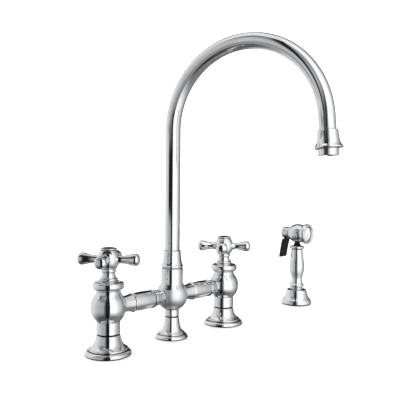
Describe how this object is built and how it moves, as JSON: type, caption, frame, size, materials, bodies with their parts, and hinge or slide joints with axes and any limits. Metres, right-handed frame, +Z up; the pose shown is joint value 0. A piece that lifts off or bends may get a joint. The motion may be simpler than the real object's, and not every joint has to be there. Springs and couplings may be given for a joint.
{
  "type": "bridge kitchen faucet",
  "caption": "Bridge kitchen faucet with cross handles, a turned bridge, a swivelling gooseneck spout and a lift-out side spray.",
  "frame": {"origin": "axis of the centre column on the worktop plane", "axes": "+Z up; +X along the bridge to the cold valve and the side spray; -Y towards the user, over the basin"},
  "size_m": [0.4448, 0.247, 0.3758],
  "materials": {
    "chrome": "polished, slightly satin nickel-chrome plate on brass",
    "brass": "machined, unplated",
    "steel": "plain stainless steel",
    "black_plastic": "black moulded plastic",
    "rubber": "black rubber",
    "white_plastic": "white moulded plastic",
    "ceramic": "lapped white ceramic"
  },
  "bodies": {
    "base": {"hot_escutcheon": "chrome", "hot_deck_gasket": "rubber", "hot_valve_body": "chrome", "hot_bonnet": "chrome", "hot_cartridge_body": "brass", "hot_fixed_disc": "ceramic", "hot_bridge_arm": "chrome", "cold_escutcheon": "chrome", "cold_deck_gasket": "rubber", "cold_valve_body": "chrome", "cold_bonnet": "chrome", "cold_cartridge_body": "brass", "cold_fixed_disc": "ceramic", "cold_bridge_arm": "chrome", "centre_escutcheon": "chrome", "centre_deck_gasket": "rubber", "centre_body": "chrome", "spray_check_valve": "white_plastic", "diverter_sleeve": "white_plastic", "diverter_spring": "steel", "spout_nut_washer": "steel", "spout_nut": "chrome", "swivel_bushing": "white_plastic", "spray_holder": "chrome", "spray_holder_gasket": "rubber", "spray_holder_liner": "black_plastic"},
    "hot_handle": {"hot_moving_disc": "ceramic", "hot_stem": "steel", "hot_cross_handle": "chrome", "hot_handle_screw": "steel", "hot_index_button": "chrome"},
    "cold_handle": {"cold_moving_disc": "ceramic", "cold_stem": "steel", "cold_cross_handle": "chrome", "cold_handle_screw": "steel", "cold_index_button": "chrome"},
    "spout": {"spout_post": "brass", "spout_o_ring_lower": "rubber", "spout_o_ring_upper": "rubber", "spout_tube": "chrome", "spout_end_bell": "chrome", "aerator_housing": "chrome", "aerator_insert": "white_plastic", "aerator_washer": "rubber"},
    "diverter": {"diverter_poppet": "white_plastic"},
    "hose_end": {"spray_hose_nut": "chrome"},
    "handset": {"spray_nut_o_ring": "rubber", "spray_handle": "chrome", "spray_neck": "black_plastic", "spray_head_shell": "chrome", "spray_face_ring": "chrome", "spray_nozzle_plate": "white_plastic", "spray_back_cap": "chrome", "lever_pivot_pin": "steel", "spray_valve_seal": "rubber", "spray_spring": "steel", "spray_spring_seat": "brass"},
    "lever": {"spray_lever": "black_plastic"},
    "plunger": {"spray_plunger": "brass"}
  },
  "joints": [
    {"name": "hot_turn", "type": "hinge", "parent": "base", "child": "hot_handle", "pos_m": [-0.1016, 0, 0.11], "axis": [0, 0, 1], "range_deg": [0, 90]},
    {"name": "cold_turn", "type": "hinge", "parent": "base", "child": "cold_handle", "pos_m": [0.1016, 0, 0.11], "axis": [0, 0, 1], "range_deg": [-90, 0]},
    {"name": "spout_swivel", "type": "hinge", "parent": "base", "child": "spout", "pos_m": [0, 0, 0.09], "axis": [0, 0, 1], "continuous": true},
    {"name": "diverter_lift", "type": "slide", "parent": "base", "child": "diverter", "axis": [0, 0, 1], "range_m": [0, 0.004], "stiffness_N_per_m": 300, "springref_m": -0.002, "deforming": ["diverter_spring"]},
    {"name": "spray_lift", "type": "slide", "parent": "base", "child": "hose_end", "axis": [0, 0, 1], "range_m": [0, 0.15]},
    {"name": "spray_spin", "type": "hinge", "parent": "hose_end", "child": "handset", "pos_m": [0.2874, 0, 0.03], "axis": [0, 0, 1], "continuous": true},
    {"name": "lever_squeeze", "type": "hinge", "parent": "handset", "child": "lever", "pos_m": [0.2874, 0.0204, 0.1217], "axis": [-1, 0, 0], "range_deg": [0, 12], "stiffness_Nm_per_rad": 0.3, "springref_deg": -5.73},
    {"name": "plunger_push", "type": "slide", "parent": "handset", "child": "plunger", "axis": [0, -1, 0], "range_m": [0, 0.0011], "deforming": ["spray_spring"]}
  ],
  "couplings": [
    {"joint": "plunger_push", "follows": "lever_squeeze", "m_per_rad": 0.004775}
  ]
}
